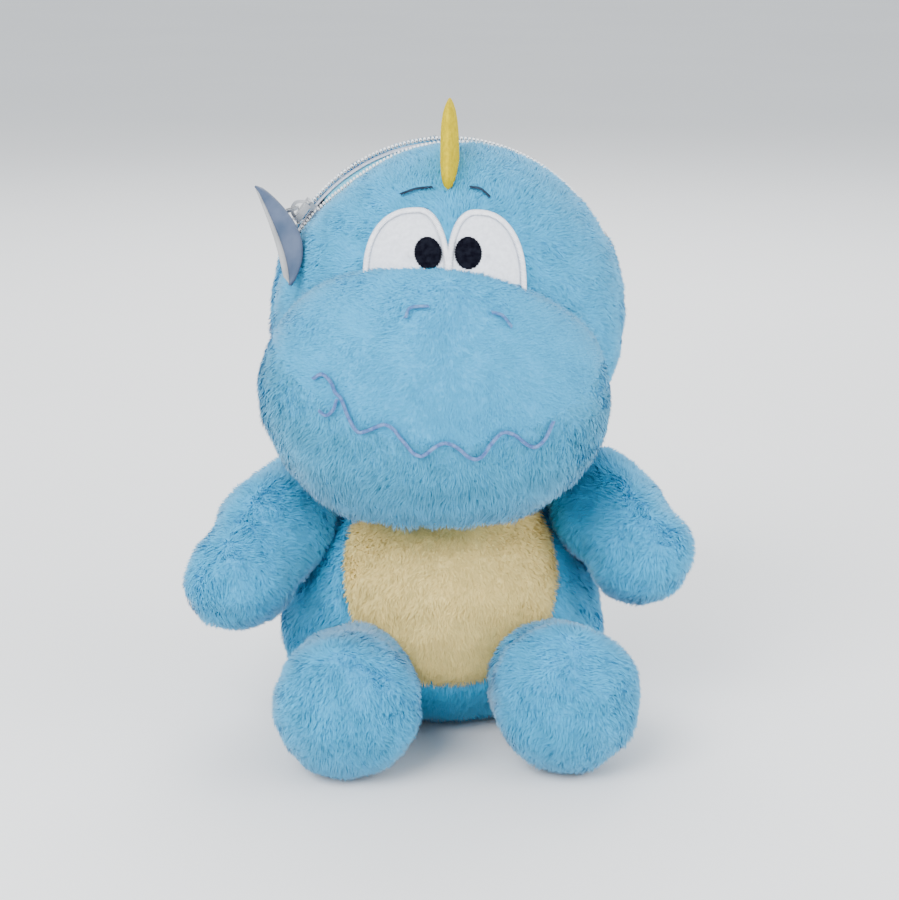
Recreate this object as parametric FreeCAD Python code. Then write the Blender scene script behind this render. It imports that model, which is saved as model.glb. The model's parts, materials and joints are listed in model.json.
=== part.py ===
"""Sitting plush dinosaur pouch with a key ring.

Frame: origin at the middle of the flat seat, +Z up, the face looks along -Y,
+X is the viewer's right.  Millimetres.  The head is a round pouch whose crown
opens with a curved zip; head, arms, legs and tail turn in the body, the zip
slider runs round the crown, and a split ring hangs from a loop at the back.
"""
import FreeCAD, Part
import math
import os

V = FreeCAD.Vector
UP = V(0, 0, 1)
DEPTH = V(0, 1, 0)
ORIGIN = V(0, 0, 0)
BIG = 200.0

# Fabric, filling and clearances
SKIN = 2.0              # plush cloth with its pile pressed down
EASE = 0.1              # filling stops this far inside the cloth
TOUCH = 0.05            # trim sewn on a surface sits this far off it

# Head: a round skull, and a wide muzzle in front of it that is tipped a little
HEAD_CENTRE = V(1.5, 0, 128)
HEAD_RADII = (56, 50, 57)
MUZZLE_CENTRE = V(-2.5, -28, 112)
MUZZLE_RADII = (52, 40, 43)
FACE_CENTRE = V(-1, 0, 145)
FACE_ROLL = 4.0
NECK_Z = 74.2
NECK_BAND = 4.0
MOUTH_ARC_Z = 173.5
MOUTH_ARC_R = 70.0

# Torso: an egg cut flat at the seat and the neck, flatter front to back
TORSO_TOP_Z = 73.7
TORSO_CENTRE = V(0, 2, 24)
TORSO_RADIUS = 53.0
TORSO_HIGH = 52.9
TORSO_LOW = 27.9
TORSO_DEPTH_RATIO = 0.78
BASE_RADII = (27, 20)
BELLY_RADII = (33.5, 31)
BELLY_Z = 50.0

# Limbs: two balls joined by a tangent cone
ARM_ROOT_R = 12.5
HAND_R = 16.2
ARM_LEFT = (V(-46.5, 2, 69.5), V(-64.8, -25.8, 51.8))
ARM_RIGHT = (V(46.5, 2, 70.5), V(61.2, -23.3, 55.8))
ARM_SOCKET_R = 17.8
HIP = V(30, -29, 18)
HIP_R = 13.0
FOOT = V(33.2, -60, 22.5)
FOOT_R = 22.0
HIP_SOCKET_R = 20.5
TAIL_ROOT = V(0, 36, 19)
TAIL_ROOT_R = 15.0
TAIL_SOCKET_R = 16.6
TAIL_TIP = V(0, 82, 9)
TAIL_TIP_R = 7.0

# Crown zip: a number 3 coil zip on an arc round the middle of the head
ZIP_Y = 2.5
SLOT_FRONT_Y = -4.5
SLOT_REAR_Y = 9.5
SLOT_LOW_Z = 149.5
TAPE_R = (53.3, 53.9)
TAPE_SHORT = 0.2
STOP_AFTER_COIL = 2.7
SEAT_TRIM = 1.0
COIL_R = (54.0, 55.9)
COIL_HALF = 0.95
HALF_GAP = ((0, 4.0), (12, 3.9), (24, 3.6), (36, 2.6), (42, 1.6), (45.2, 1.25), (48.7, 1.2))
SLIDER_ANGLE = -53.4
SLIDER_LENGTH = 8.5
SLIDER_HALF_WIDTH = 3.35
PULL_LENGTH = 9.2
PULL_WIDTH = 4.6
PULL_THICK = 0.8
PULL_SLOT = 3.6
PULL_EYE = 7.6
PULL_ANGLE = 164.0
ARCH_R = 3.2
ARCH_HALF = 0.8

# Pouch lining under the zip
POCKET_HALF = 38.0
POCKET_LOW_Z = 94.0
POCKET_CORNER = 14.0
LINING = 0.8
LINING_RIM_R = 51.5

# Key ring and its webbing loop at the back of the head
LOOP_PIVOT = V(1.5, 57, 150)
LOOP_ROOT = V(1.5, 40, 157)
LOOP_HALF_WIDTH = 5.0
LOOP_INNER_R = 2.9
WEBBING = 1.2
RING_OUTER_R = 12.4
RING_WIRE = 2.2


def ellipsoid(centre, radii, grow=0.0):
    """Ellipsoid with its poles at front and back."""
    squash = FreeCAD.Matrix()
    squash.scale(radii[0] + grow, radii[1] + grow, radii[2] + grow)
    ball = Part.makeSphere(1.0, ORIGIN, DEPTH).transformGeometry(squash)
    ball.translate(centre)
    return ball


def skull(grow=0.0):
    return ellipsoid(HEAD_CENTRE, HEAD_RADII, grow)


def muzzle(grow=0.0):
    return rolled(ellipsoid(MUZZLE_CENTRE, MUZZLE_RADII, grow))


def rolled(shape):
    """Tip a shape of the face with the head."""
    shape.rotate(FACE_CENTRE, DEPTH, FACE_ROLL)
    return shape


def box(low, high):
    size = [b - a for a, b in zip(low, high)]
    return Part.makeBox(size[0], size[1], size[2], V(*low))


def slab(y_low, y_high, z_low=-BIG, x_low=-BIG, x_high=BIG, z_high=2 * BIG):
    return box((x_low, y_low, z_low), (x_high, y_high, z_high))


def disc(centre, radius, y_low, y_high):
    """Cylinder along Y."""
    return Part.makeCylinder(radius, y_high - y_low, V(centre.x, y_low, centre.z), DEPTH)


def oval(centre, radii, y_low, y_high):
    """Elliptic cylinder along Y."""
    stretch = FreeCAD.Matrix()
    stretch.scale(radii[0], 1.0, radii[1])
    post = Part.makeCylinder(1.0, y_high - y_low, ORIGIN, DEPTH).transformGeometry(stretch)
    post.translate(V(centre.x, y_low, centre.z))
    return post


def teardrop_outline(reach, root_r, tip_r):
    """Half outline (r, t) of two balls and the cone tangent to both."""
    lean = math.asin((tip_r - root_r) / reach)

    def on_ball(radius, offset, angle):
        return V(radius * math.cos(angle), 0, offset + radius * math.sin(angle))

    quarter = math.pi / 2
    root = [on_ball(root_r, 0, a) for a in (-quarter, (-quarter - lean) / 2, -lean)]
    tip = [on_ball(tip_r, reach, a) for a in (-lean, (quarter - lean) / 2, quarter)]
    return root, tip


def teardrop(root, tip, root_r, tip_r, grow=0.0):
    """Closed soft limb standing from root to tip."""
    reach = (tip - root).Length
    low, high = teardrop_outline(reach, root_r + grow, tip_r + grow)
    outline = Part.Wire([
        Part.Arc(*low).toShape(),
        Part.LineSegment(low[2], high[0]).toShape(),
        Part.Arc(*high).toShape(),
        Part.LineSegment(high[2], low[0]).toShape(),
    ])
    limb = Part.Face(outline).revolve(ORIGIN, UP, 360)
    limb.Placement = FreeCAD.Placement(root, FreeCAD.Rotation(UP, tip - root))
    return limb


def limb_parts(name, ends, radii, halves, across):
    """Two cloth halves and the filling of one limb; across is the local axis between halves."""
    root, tip = ends
    outer = teardrop(root, tip, *radii)
    inner = teardrop(root, tip, *radii, grow=-SKIN)
    cloth = outer.cut(inner)
    parts = {}
    for half, low in zip(halves, (-BIG, 0)):
        corner = V(-BIG, -BIG, -BIG)
        corner[across] = low
        sides = [2 * BIG] * 3
        sides[across] = BIG
        tool = Part.makeBox(*sides, corner)
        tool.Placement = outer.Placement.multiply(tool.Placement)
        parts[f"{name}_{half}"] = cloth.common(tool)
    parts[f"{name}_stuffing"] = teardrop(root, tip, *radii, grow=-SKIN - EASE)
    return parts


def mirrored(point):
    return V(-point.x, point.y, point.z)


def hip_ends(side):
    return (HIP, FOOT) if side > 0 else (mirrored(HIP), mirrored(FOOT))


def egg(grow=0.0):
    """Torso solid, grown on every side: a shallow half below, a tall half above."""
    waist = TORSO_CENTRE.z
    seat_z = -grow
    trim_z = seat_z - SEAT_TRIM
    neck_z = TORSO_TOP_Z + grow
    side = TORSO_RADIUS + grow
    rise = TORSO_HIGH + grow
    drop = TORSO_LOW + grow
    high = Part.Ellipse(V(side, 0, waist), V(0, 0, waist + rise), V(0, 0, waist))
    low = Part.Ellipse(V(side, 0, waist), V(0, 0, waist - drop), V(0, 0, waist))
    high_arc = Part.ArcOfEllipse(high, 0, math.asin((neck_z - waist) / rise))
    low_arc = Part.ArcOfEllipse(low, 0, math.asin((waist - trim_z) / drop))
    outline = Part.Wire(Part.__sortEdges__([
        low_arc.toShape(),
        high_arc.toShape(),
        Part.LineSegment(high_arc.EndPoint, V(0, 0, neck_z)).toShape(),
        Part.LineSegment(V(0, 0, neck_z), V(0, 0, trim_z)).toShape(),
        Part.LineSegment(V(0, 0, trim_z), low_arc.EndPoint).toShape(),
    ]))
    flatten = FreeCAD.Matrix()
    flatten.scale(1.0, TORSO_DEPTH_RATIO, 1.0)
    body = Part.Face(outline).revolve(ORIGIN, UP, 360).transformGeometry(flatten)
    body.translate(V(0, TORSO_CENTRE.y, 0))
    return body.common(slab(-BIG, BIG, seat_z))


def sockets():
    """Round rooms in the torso that the limbs turn in."""
    places = [(ARM_LEFT[0], ARM_SOCKET_R), (ARM_RIGHT[0], ARM_SOCKET_R), (TAIL_ROOT, TAIL_SOCKET_R)]
    places += [(hip_ends(side)[0], HIP_SOCKET_R) for side in (-1, 1)]
    return [Part.makeSphere(radius, centre) for centre, radius in places]


def torso_parts():
    room = sockets()
    outer = egg().cut(room)
    cloth = outer.cut(egg(-SKIN))
    stretch = FreeCAD.Matrix()
    stretch.scale(*BASE_RADII, 1.0)
    base_tool = Part.makeCylinder(1.0, 3 * SKIN, V(0, 0, -SKIN)).transformGeometry(stretch)
    base_tool.translate(V(0, TORSO_CENTRE.y, 0))
    belly_tool = oval(V(0.5, 0, BELLY_Z), BELLY_RADII, -BIG, 0)
    belly_tool = belly_tool.common(slab(-BIG, 0, -BIG, z_high=TORSO_TOP_Z - SKIN))
    front = slab(-BIG, TORSO_CENTRE.y)
    shell = cloth.cut(base_tool)
    return {
        "torso_front_panel": shell.common(front).cut(belly_tool),
        "belly_panel": shell.common(belly_tool),
        "torso_back_panel": shell.cut(front),
        "base_panel": cloth.common(base_tool),
        "torso_stuffing": egg(-SKIN - EASE).cut(room),
    }


def back_fin(base, height, length, thickness, lean=0.0):
    """Soft flat spike: base is the middle of its root, lean tips it back from +Y, degrees."""
    half = length / 2
    outline = Part.Wire([
        Part.LineSegment(V(0, -6, half), V(0, -6, -half)).toShape(),
        Part.Arc(V(0, -6, -half), V(0, height * 0.55, -half * 0.72), V(0, height, -half * 0.1)).toShape(),
        Part.Arc(V(0, height, -half * 0.1), V(0, height * 0.5, half * 0.55), V(0, -6, half)).toShape(),
    ])
    fin = Part.Face(outline).extrude(V(thickness, 0, 0))
    fin.translate(V(-thickness / 2, 0, 0))
    fin.rotate(ORIGIN, V(1, 0, 0), lean)
    fin.translate(base)
    return fin


def crest_fin():
    """Yellow crest on the forehead, nearly edge-on to the front."""
    half = 3.2
    outline = Part.Wire([
        Part.LineSegment(V(0, -35, 160), V(0, -35.5, 172)).toShape(),
        Part.Arc(V(0, -35.5, 172), V(0, -26, 188), V(0, -16, 196.4)).toShape(),
        Part.Arc(V(0, -16, 196.4), V(0, -11.5, 197.2), V(0, -8.5, 193.5)).toShape(),
        Part.Arc(V(0, -8.5, 193.5), V(0, -8, 184), V(0, -9, 176)).toShape(),
        Part.LineSegment(V(0, -9, 176), V(0, -35, 160)).toShape(),
    ])
    fin = Part.Face(outline).extrude(V(2 * half, 0, 0))
    fin.translate(V(-half, 0, 0))
    fin.rotate(V(0, 0, 175), DEPTH, 7.0)
    return fin.cut(skull(TOUCH))


def fins():
    """The spikes down the back; the tail carries its own."""
    nape = back_fin(V(1.5, 45, 104), 17, 26, 5.0, 8).cut(skull(TOUCH))
    upper = back_fin(V(0, 36, 60), 11, 17, 5.0, 0).cut(egg(TOUCH))
    lower = back_fin(V(0, 40, 43), 10, 14, 5.0, 0).cut(egg(TOUCH))
    return {"nape_fin": nape, "back_fin_upper": upper, "back_fin_lower": lower}


def hang_loop():
    """Folded webbing: a closed bight round the ring, its two layers meeting in the seam."""
    outer = teardrop(LOOP_ROOT, LOOP_PIVOT, WEBBING + TOUCH, LOOP_INNER_R + WEBBING)
    inner_root = LOOP_ROOT + (LOOP_PIVOT - LOOP_ROOT) * 0.45
    inner = teardrop(inner_root, LOOP_PIVOT, 0.4, LOOP_INNER_R)
    middle = slab(-BIG, BIG, -BIG, LOOP_PIVOT.x - TOUCH, LOOP_PIVOT.x + TOUCH)
    layer = [flat_outline(shape.common(middle), LOOP_PIVOT.x) for shape in (outer, inner)]
    return layer[0].cut(layer[1])


def flat_outline(thin, x):
    """Extrude the side outline of a thin slice to the width of the webbing."""
    section = thin.slice(V(1, 0, 0), x)[0]
    face = Part.Face(section)
    strip = face.extrude(V(2 * LOOP_HALF_WIDTH, 0, 0))
    strip.translate(V(-LOOP_HALF_WIDTH, 0, 0))
    return strip


def key_ring():
    """Flat double ring hanging in the loop, with the split line round its rim."""
    wire_centre_r = RING_OUTER_R - RING_WIRE / 2
    centre = LOOP_PIVOT - V(0, 0, wire_centre_r)
    half = RING_WIRE / 2
    ring = disc(centre, RING_OUTER_R, centre.y - half, centre.y + half)
    hole = disc(centre, RING_OUTER_R - RING_WIRE, centre.y - RING_WIRE, centre.y + RING_WIRE)
    groove = disc(centre, RING_OUTER_R + 1, centre.y - 0.1, centre.y + 0.1)
    core = disc(centre, RING_OUTER_R - 0.5, centre.y - 1, centre.y + 1)
    return ring.cut(hole).cut(groove.cut(core))


def zip_edge(offset, side):
    """Points (x, y) of a line that follows one row of the zip, offset across it."""
    right = [(x, gap) for x, gap in HALF_GAP]
    left = [(-x, gap) for x, gap in reversed(HALF_GAP[1:])]
    return [V(HEAD_CENTRE.x + x, ZIP_Y + side * (gap + offset), 0) for x, gap in left + right]


def zip_strip(first, second, radii):
    """A strip of the crown arc between two edge lines seen from above."""
    lines = []
    for points in (first, second):
        if len(points) > 2:
            curve = Part.BSplineCurve()
            curve.interpolate(points)
            lines.append(curve.toShape())
        else:
            lines.append(Part.LineSegment(*points).toShape())
    ends = [Part.LineSegment(first[i], second[i]).toShape() for i in (0, -1)]
    face = Part.Face(Part.Wire(Part.__sortEdges__([lines[0], ends[1], lines[1], ends[0]])))
    face.translate(V(0, 0, HEAD_CENTRE.z))
    tower = face.extrude(V(0, 0, BIG))
    hoop = disc(HEAD_CENTRE, radii[1], -40, 40).cut(disc(HEAD_CENTRE, radii[0], -40, 40))
    return tower.common(hoop)


def zip_rows(stops):
    """Both tapes and coils; the coils end at the metal stops."""
    parts = {}
    for name, side, skin_edge in (("front", -1, SLOT_FRONT_Y), ("rear", 1, SLOT_REAR_Y)):
        sewn = skin_edge - side * TAPE_SHORT
        inner = zip_edge(-0.6, side)
        outer = [V(inner[0].x, sewn, 0), V(inner[-1].x, sewn, 0)]
        parts[f"zip_tape_{name}"] = zip_strip(inner, outer, TAPE_R)
        coil = zip_strip(zip_edge(-COIL_HALF, side), zip_edge(COIL_HALF, side), COIL_R)
        parts[f"zip_coil_{name}"] = coil.cut(list(stops.values()))
    return parts


def on_arc(shape, angle):
    """Place a shape made at the top of the arc, at radius zero, at an angle round it."""
    shape.translate(V(HEAD_CENTRE.x, ZIP_Y, HEAD_CENTRE.z))
    shape.rotate(HEAD_CENTRE, DEPTH, angle)
    return shape


def zip_stops():
    end_angle = math.degrees(math.asin(HALF_GAP[-1][0] / COIL_R[1])) + STOP_AFTER_COIL
    low = on_arc(box((-0.8, -2.2, COIL_R[0]), (0.8, 2.2, COIL_R[1] + 0.4)), -end_angle)
    tops = [on_arc(box((-0.7, y - 0.9, COIL_R[0]), (0.7, y + 0.9, COIL_R[1] + 0.3)), end_angle)
            for y in (-1.2, 1.2)]
    return {"zip_bottom_stop": low, "zip_top_stops": Part.makeCompound(tops)}


def plate(length, width, low, high, corner=1.2):
    """Flat plate with rounded corners, upright edges along Z."""
    shape = box((-length / 2, -width / 2, low), (length / 2, width / 2, high))
    upright = [edge for edge in shape.Edges if abs(edge.tangentAt(edge.FirstParameter).z) > 0.9]
    return shape.makeFillet(corner, upright)


def zip_slider():
    """Two plates held apart by a post, with side flanges and the arch for the pull."""
    top = COIL_R[1] + 0.2
    bottom = TAPE_R[0] - 0.3
    width = 2 * SLIDER_HALF_WIDTH
    body = plate(SLIDER_LENGTH, width, top, top + 1.0)
    body = body.fuse(plate(SLIDER_LENGTH, width, bottom - 1.0, bottom))
    half = SLIDER_LENGTH / 2
    body = body.fuse(box((1.9, -0.3, bottom), (half - 0.4, 0.3, top)))
    for side in (-1, 1):
        outer = side * SLIDER_HALF_WIDTH
        inner = side * (SLIDER_HALF_WIDTH - 0.5)
        body = body.fuse(box((-half + 1.2, min(outer, inner), top - 1.1), (half - 1.2, max(outer, inner), top)))
    arch = Part.makeCylinder(ARCH_R, 2 * ARCH_HALF, V(0, -ARCH_HALF, top + 0.6), DEPTH)
    arch = arch.cut(Part.makeCylinder(ARCH_R - 1.0, 2 * ARCH_HALF, V(0, -ARCH_HALF, top + 0.6), DEPTH))
    arch = arch.cut(box((-4, -2, top - 4), (4, 2, top + 0.9)))
    return on_arc(body.fuse(arch), SLIDER_ANGLE)


def pull_pivot():
    """Middle of the pull's crossbar, inside the slider's arch."""
    angle = math.radians(SLIDER_ANGLE)
    radius = COIL_R[1] + 2.0
    return V(HEAD_CENTRE.x + radius * math.sin(angle), ZIP_Y, HEAD_CENTRE.z + radius * math.cos(angle))


def on_pull(shape):
    """Place a shape made along +X from the crossbar, face up, onto the hanging pull."""
    shape.rotate(ORIGIN, DEPTH, PULL_ANGLE)
    shape.translate(pull_pivot())
    return shape


def zip_pull():
    """Flat pull: a crossbar through the arch, two arms beside it, a tongue with the tag's eye."""
    half = PULL_THICK / 2
    body = plate(PULL_LENGTH, PULL_WIDTH, -half, half, 1.0)
    body.translate(V(PULL_LENGTH / 2 - half, 0, 0))
    body = body.cut(box((half, -ARCH_HALF - 0.4, -1), (PULL_SLOT, ARCH_HALF + 0.4, 1)))
    body = body.cut(Part.makeCylinder(0.9, 3, V(PULL_EYE, 0, -1.5)))
    return on_pull(body)


def tag_parts():
    """Blank folded card: one leaf faces forward, the other goes back from the fold."""
    tip = V(-58.2, -3.4, 168.8)
    corner = V(-50.0, -5.0, 161.2)
    low = V(-53.6, -3.0, 147.5)
    rear = V(-56.6, 11.0, 148.5)
    parts = []
    for leaf in ((tip, corner, low), (tip + V(-0.7, 0.6, 0), low + V(-0.7, 0.6, 0), rear)):
        face = Part.Face(Part.makePolygon([*leaf, leaf[0]]))
        normal = (leaf[1] - leaf[0]).cross(leaf[2] - leaf[0]).normalize()
        parts.append(face.extrude(normal * 0.45))
    stem = Part.makeCylinder(0.4, 4.0, V(PULL_EYE, 0, -2.4))
    stop = Part.makeCylinder(0.5, 4.4, V(PULL_EYE, -2.2, -1.6), DEPTH)
    run = Part.makeCylinder(0.4, 6.5, V(PULL_EYE, -6.1, -2.4), DEPTH)
    return {"hang_tag": Part.makeCompound(parts), "tag_fastener": on_pull(stem.fuse(stop.fuse(run)))}


def head_cloth():
    """The whole skin of the head, one layer thick, flat at the neck."""
    outer = skull().fuse(muzzle()).common(slab(-BIG, BIG, NECK_Z))
    inner = skull(-SKIN).fuse(muzzle(-SKIN)).common(slab(-BIG, BIG, NECK_Z + SKIN))
    return outer.cut(inner)


def head_panels(loop):
    cloth = head_cloth()
    above_neck = slab(-BIG, BIG, NECK_Z + NECK_BAND)
    upper = cloth.common(above_neck)
    dome = upper.cut(skull())
    round_part = upper.common(skull())
    over_mouth = rolled(disc(V(MUZZLE_CENTRE.x, 0, MOUTH_ARC_Z), MOUTH_ARC_R, -BIG, BIG))
    parts = {
        "snout_panel": dome.common(over_mouth),
        "chin_panel": dome.cut(over_mouth),
        "forehead_panel": round_part.common(slab(-BIG, SLOT_FRONT_Y)),
        "head_back_panel": round_part.common(slab(SLOT_REAR_Y, BIG)).cut(loop),
        "neck_panel": cloth.cut(above_neck),
    }
    for side, low, high in (("left", -BIG, HEAD_CENTRE.x), ("right", HEAD_CENTRE.x, BIG)):
        strip = slab(SLOT_FRONT_Y, SLOT_REAR_Y, -BIG, low, high, SLOT_LOW_Z)
        parts[f"head_gusset_{side}"] = round_part.common(strip)
    return parts


def pocket(grow, rim):
    """Room of the pouch, grown on every side but its open top."""
    low = (HEAD_CENTRE.x - POCKET_HALF - grow, SLOT_FRONT_Y + 0.9 - grow, POCKET_LOW_Z - grow)
    high = (HEAD_CENTRE.x + POCKET_HALF + grow, SLOT_REAR_Y - 0.9 + grow, HEAD_CENTRE.z + 60)
    block = box(low, high)
    corners = [edge for edge in block.Edges
               if edge.CenterOfMass.z < POCKET_LOW_Z - grow + 0.1 and abs(edge.CenterOfMass.x - HEAD_CENTRE.x) > 5]
    block = block.makeFillet(POCKET_CORNER, corners)
    return block.common(disc(HEAD_CENTRE, rim, -60, 60))


def head_inside(loop):
    """Filling packed round the pouch, and the pouch's lining."""
    lining = pocket(LINING, LINING_RIM_R).cut(pocket(0, LINING_RIM_R + 5))
    filling = skull(-SKIN - EASE).fuse(muzzle(-SKIN - EASE)).common(slab(-BIG, BIG, NECK_Z + SKIN + EASE))
    filling = filling.cut(loop)
    front_y = SLOT_FRONT_Y - EASE
    rear_y = SLOT_REAR_Y + EASE
    seam_room = disc(HEAD_CENTRE, BIG / 2, front_y - 0.5, rear_y + 0.5)
    seam_room = seam_room.cut(disc(HEAD_CENTRE, 50, -60, 60)).common(slab(-60, 60, SLOT_LOW_Z - 2))
    filling = filling.cut(seam_room)
    reach = POCKET_HALF + LINING + EASE
    lumps = [
        filling.common(slab(-BIG, front_y)),
        filling.common(slab(rear_y, BIG)),
        filling.common(slab(front_y, rear_y, -BIG, -BIG, HEAD_CENTRE.x - reach)),
        filling.common(slab(front_y, rear_y, -BIG, HEAD_CENTRE.x + reach, BIG)),
        filling.common(slab(front_y, rear_y, -BIG, HEAD_CENTRE.x - reach, HEAD_CENTRE.x + reach,
                            POCKET_LOW_Z - LINING - EASE)),
    ]
    solids = [solid for lump in lumps for solid in lump.Solids]
    return {"pouch_lining": lining, "head_stuffing": Part.makeCompound(solids)}


def sewn_on(surface, tools, rise, lift=TOUCH):
    """Thin trim that follows a surface inside each tool."""
    layer = surface(rise + lift).cut(surface(lift))
    pieces = [layer.common(rolled(tool)) for tool in tools]
    return Part.makeCompound([solid for piece in pieces for solid in piece.Solids])


def stitched_arc(x, z, radius, start, end, width):
    """Satin-stitch arc as a bent bar along Y; angles in degrees from +X."""
    centre = V(x, 0, z)
    bar = disc(centre, radius + width / 2, -90, -30).cut(disc(centre, radius - width / 2, -90, -30))
    middle = math.radians((start + end) / 2)
    half = math.radians((end - start) / 2)
    reach = 3 * radius
    corners = [centre + V(reach * math.cos(a), 0, reach * math.sin(a))
               for a in (middle - half, middle, middle + half)]
    wedge = Part.Face(Part.makePolygon([centre, *corners, centre])).extrude(V(0, 60, 0))
    wedge.translate(V(0, -90, 0))
    return bar.common(wedge)


def face_trim():
    """Felt eyes and the embroidery of the face."""
    whites = []
    for x, half_width, height in ((-12.6, 12.6, 19.0), (11.0, 11.6, 18.5)):
        dome = oval(V(x, 0, 149.5), (half_width, height), -90, -20)
        whites.append(dome.common(slab(-90, 0, 149.5)))
    eyes = whites[0].fuse(whites[1])
    pupils = [oval(V(x, 0, 155.3), (3.8, 4.1), -90, -20) for x in (-8.2, 3.3)]
    brows = [stitched_arc(x, z, 9.0, start, end, 1.1)
             for x, z, start, end in ((-11.5, 163.0, 62, 122), (8.5, 162.5, 62, 118))]
    nostrils = [stitched_arc(x, 137.5, 4.0, start, end, 1.1)
                for x, start, end in ((-12.0, 60, 150), (12.5, 30, 120))]
    mouth = []
    for x, z, radius in ((-27.0, 116.4, 9.0), (-9.0, 110.3, 9.2), (8.0, 110.0, 9.0), (24.8, 113.8, 8.8)):
        mouth.append(stitched_arc(x, z, radius, 206, 334, 1.2))
    mouth.append(stitched_arc(-38.2, 119.0, 2.6, 190, 350, 1.2))
    return {
        "eye_whites": sewn_on(skull, [eyes], 1.2).cut(muzzle(TOUCH)),
        "pupils": sewn_on(skull, pupils, 0.7, 1.2 + 2 * TOUCH),
        "eyebrow_stitching": sewn_on(skull, brows, 0.8),
        "nostril_stitching": sewn_on(muzzle, nostrils, 0.8),
        "mouth_stitching": sewn_on(muzzle, mouth, 0.8),
    }


def limbs():
    parts = {}
    arm_radii = (ARM_ROOT_R, HAND_R)
    for side, ends in (("left", ARM_LEFT), ("right", ARM_RIGHT)):
        parts.update(limb_parts(f"arm_{side}", ends, arm_radii, ("front_panel", "back_panel"), 1))
    for side, sign in (("left", -1), ("right", 1)):
        parts.update(limb_parts(f"leg_{side}", hip_ends(sign), (HIP_R, FOOT_R), ("under_panel", "upper_panel"), 1))
    tail_radii = (TAIL_ROOT_R, TAIL_TIP_R)
    parts.update(limb_parts("tail", (TAIL_ROOT, TAIL_TIP), tail_radii, ("left_panel", "right_panel"), 0))
    whole = teardrop(TAIL_ROOT, TAIL_TIP, *tail_radii, grow=TOUCH)
    fin = back_fin(ORIGIN, 9, 14, 4.5, 0)
    fin.rotate(ORIGIN, V(1, 0, 0), 78)
    fin.translate(V(0, 66, 21))
    parts["tail_fin"] = fin.cut(whole)
    return parts


def build():
    loop = hang_loop()
    parts = {"hang_loop": loop, "key_ring": key_ring(), "crest_fin": crest_fin()}
    parts.update(torso_parts())
    parts.update(head_panels(loop))
    parts.update(head_inside(loop))
    parts.update(face_trim())
    parts.update(fins())
    stops = zip_stops()
    parts.update(stops)
    parts.update(zip_rows(stops))
    parts.update({"zip_slider": zip_slider(), "zip_pull": zip_pull()})
    parts.update(tag_parts())
    parts.update(limbs())
    return parts


def main():
    os.makedirs("parts", exist_ok=True)
    for name, shape in build().items():
        shape.exportStep(f"parts/{name}.step")


main()
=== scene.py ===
import json
import math

import bpy
import numpy as np
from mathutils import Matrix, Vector
from mathutils.kdtree import KDTree


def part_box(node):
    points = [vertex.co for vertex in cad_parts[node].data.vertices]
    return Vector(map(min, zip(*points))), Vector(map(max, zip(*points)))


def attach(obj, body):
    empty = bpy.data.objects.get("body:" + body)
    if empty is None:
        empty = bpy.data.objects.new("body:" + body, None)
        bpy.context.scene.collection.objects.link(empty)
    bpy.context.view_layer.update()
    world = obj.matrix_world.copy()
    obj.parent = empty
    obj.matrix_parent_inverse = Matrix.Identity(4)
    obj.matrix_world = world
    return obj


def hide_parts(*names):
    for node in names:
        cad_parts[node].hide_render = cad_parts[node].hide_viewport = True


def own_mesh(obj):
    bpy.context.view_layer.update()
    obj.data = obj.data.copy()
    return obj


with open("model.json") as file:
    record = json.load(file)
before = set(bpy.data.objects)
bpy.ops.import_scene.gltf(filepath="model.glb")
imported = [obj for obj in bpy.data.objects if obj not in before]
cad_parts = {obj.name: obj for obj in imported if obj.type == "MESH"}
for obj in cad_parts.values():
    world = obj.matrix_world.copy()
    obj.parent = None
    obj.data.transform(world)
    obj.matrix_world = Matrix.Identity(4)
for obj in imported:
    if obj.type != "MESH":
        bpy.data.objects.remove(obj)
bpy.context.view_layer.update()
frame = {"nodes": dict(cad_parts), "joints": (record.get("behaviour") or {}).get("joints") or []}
JOINTS = {joint["name"]: joint for joint in frame["joints"]}

# Sizes below are in millimetres, in the CAD frame: +X the toy's left, -Y its front, +Z up.
# In the names of pieces, left and right are as seen from the front: left is at -X.
TO_M = 0.001


def mm(values):
    """Metres to a numpy row in millimetres."""
    return np.array(values, float) * 1000.0


def node_box(*nodes):
    """Lowest and highest corner round several CAD nodes, in millimetres."""
    corners = [mm(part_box(node)) for node in nodes]
    return np.min([c[0] for c in corners], axis=0), np.max([c[1] for c in corners], axis=0)


# Head: a skull and a muzzle, both ellipsoids; the skull is centred on the zip's arc.
ZIP_CENTRE = mm(JOINTS["zip_slide"]["pos_m"])
HEAD = np.array([ZIP_CENTRE[0], 0.0, ZIP_CENTRE[2]])
HEAD_R = np.array([56.0, 50.0, 57.0])
MUZZLE = np.array([-1.5, -28.0, 112.0])
MUZZLE_R = np.array([53.5, 40.0, 45.5])
HEAD_FRONT_Y, HEAD_REAR_Y = -66.4, 48.4
DRIFT_DEPTH = 63.5
# The face leans by a small roll round this point.
FACE = np.array([-1.0, 0.0, 145.0])
FACE_ROLL = math.radians(4.0)
NECK_Z = 74.4
CHIN_TOP_Z = 108
# Centre, in x and z, and radius of the seam between snout and chin.
MOUTH_ARC = (np.array([-2.5, 173.5]), 70.0)
# The front lip of the open pouch sags most at this angle from the top, on the toy's right.
LIP_SAG, LIP_ANGLE, LIP_SPREAD, LIP_R = 4.2, -38, 26, 55.0
# Zip: its middle line, the slot it lies in, and half its gap against the distance from the middle.
ZIP_Y = 2.5
SLOT_Y = (-4.5, 9.5)
SLOT_LOW_Z = 153.2
COIL_R = 54.9
TAPE_R = 53.6
PITCH = 1.27
HALF_GAP = ((0, 4.0), (12, 3.9), (24, 3.6), (36, 2.6), (42, 1.6), (45.2, 1.3), (48.7, 1.25))
ZIP_SPAN = (-60.0, 60.0)
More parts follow.
